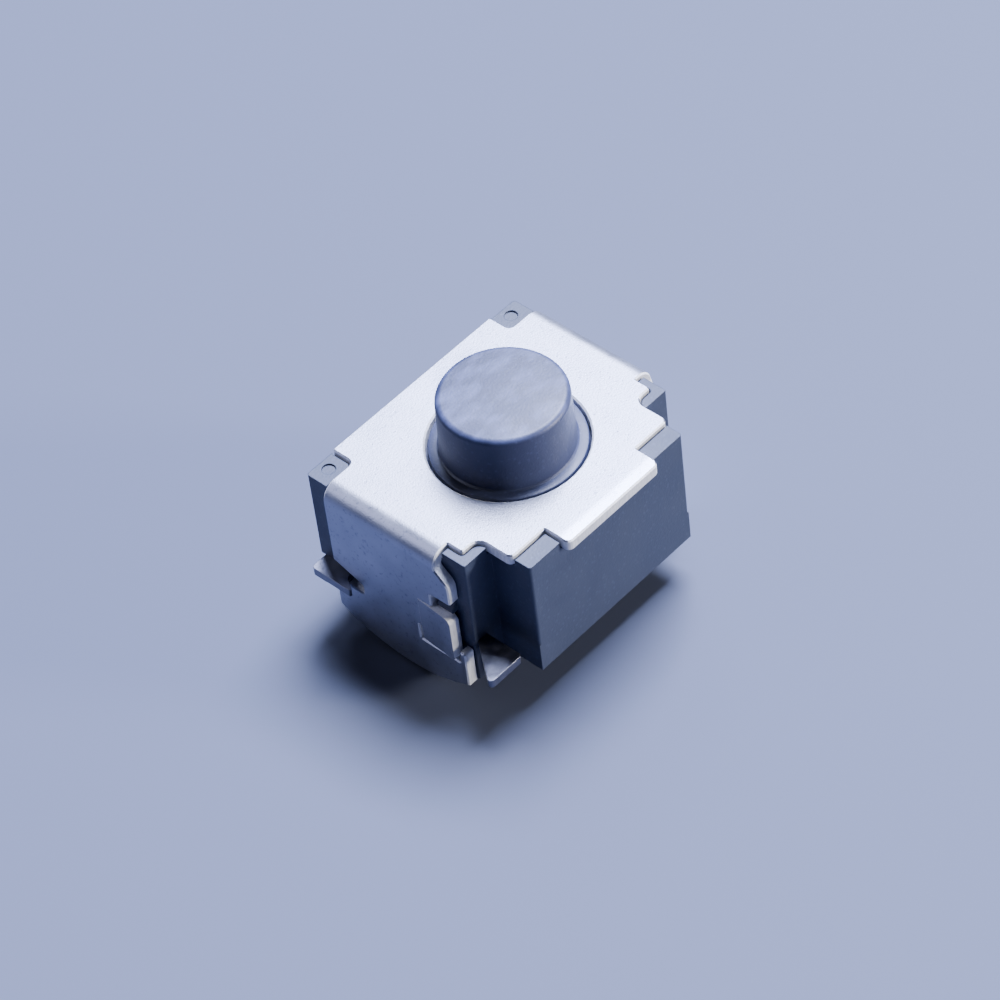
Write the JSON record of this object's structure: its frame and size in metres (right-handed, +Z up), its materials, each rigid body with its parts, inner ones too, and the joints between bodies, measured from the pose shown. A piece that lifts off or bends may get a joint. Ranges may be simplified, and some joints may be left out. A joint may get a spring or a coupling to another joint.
{
  "type": "micro switch",
  "caption": "Small surface-mount tactile switch with a folded metal cover, black moulded base, round push button and two flat solder lugs at one end, at mid height.",
  "frame": {"origin": "on the lowest face of the base, straight below the axis of the button", "axes": "+Z up along the button's axis, +X along the cover between its two end walls, -Y towards the side with the front lip"},
  "size_m": [0.0057, 0.0045, 0.0043],
  "materials": {
    "cover_steel": "bright plated strip with a fine satin grain",
    "base_plastic": "black moulding with a slight sheen",
    "button_plastic": "black moulding with a finely scuffed satin top",
    "lead_plating": "plated, satin",
    "dome_steel": "plain spring steel",
    "film_amber": "clear amber film"
  },
  "bodies": {
    "housing": {"base_housing": "base_plastic", "cover_frame": "cover_steel", "centre_contact": "lead_plating", "outer_contact": "lead_plating", "contact_dome": "dome_steel", "dome_film": "film_amber"},
    "button": {"button": "button_plastic"}
  },
  "joints": [
    {"name": "button_press", "type": "slide", "parent": "housing", "child": "button", "axis": [0, 0, -1], "range_m": [0, 0.00025], "stiffness_N_per_m": 6400, "deforming": ["contact_dome", "dome_film"]}
  ]
}
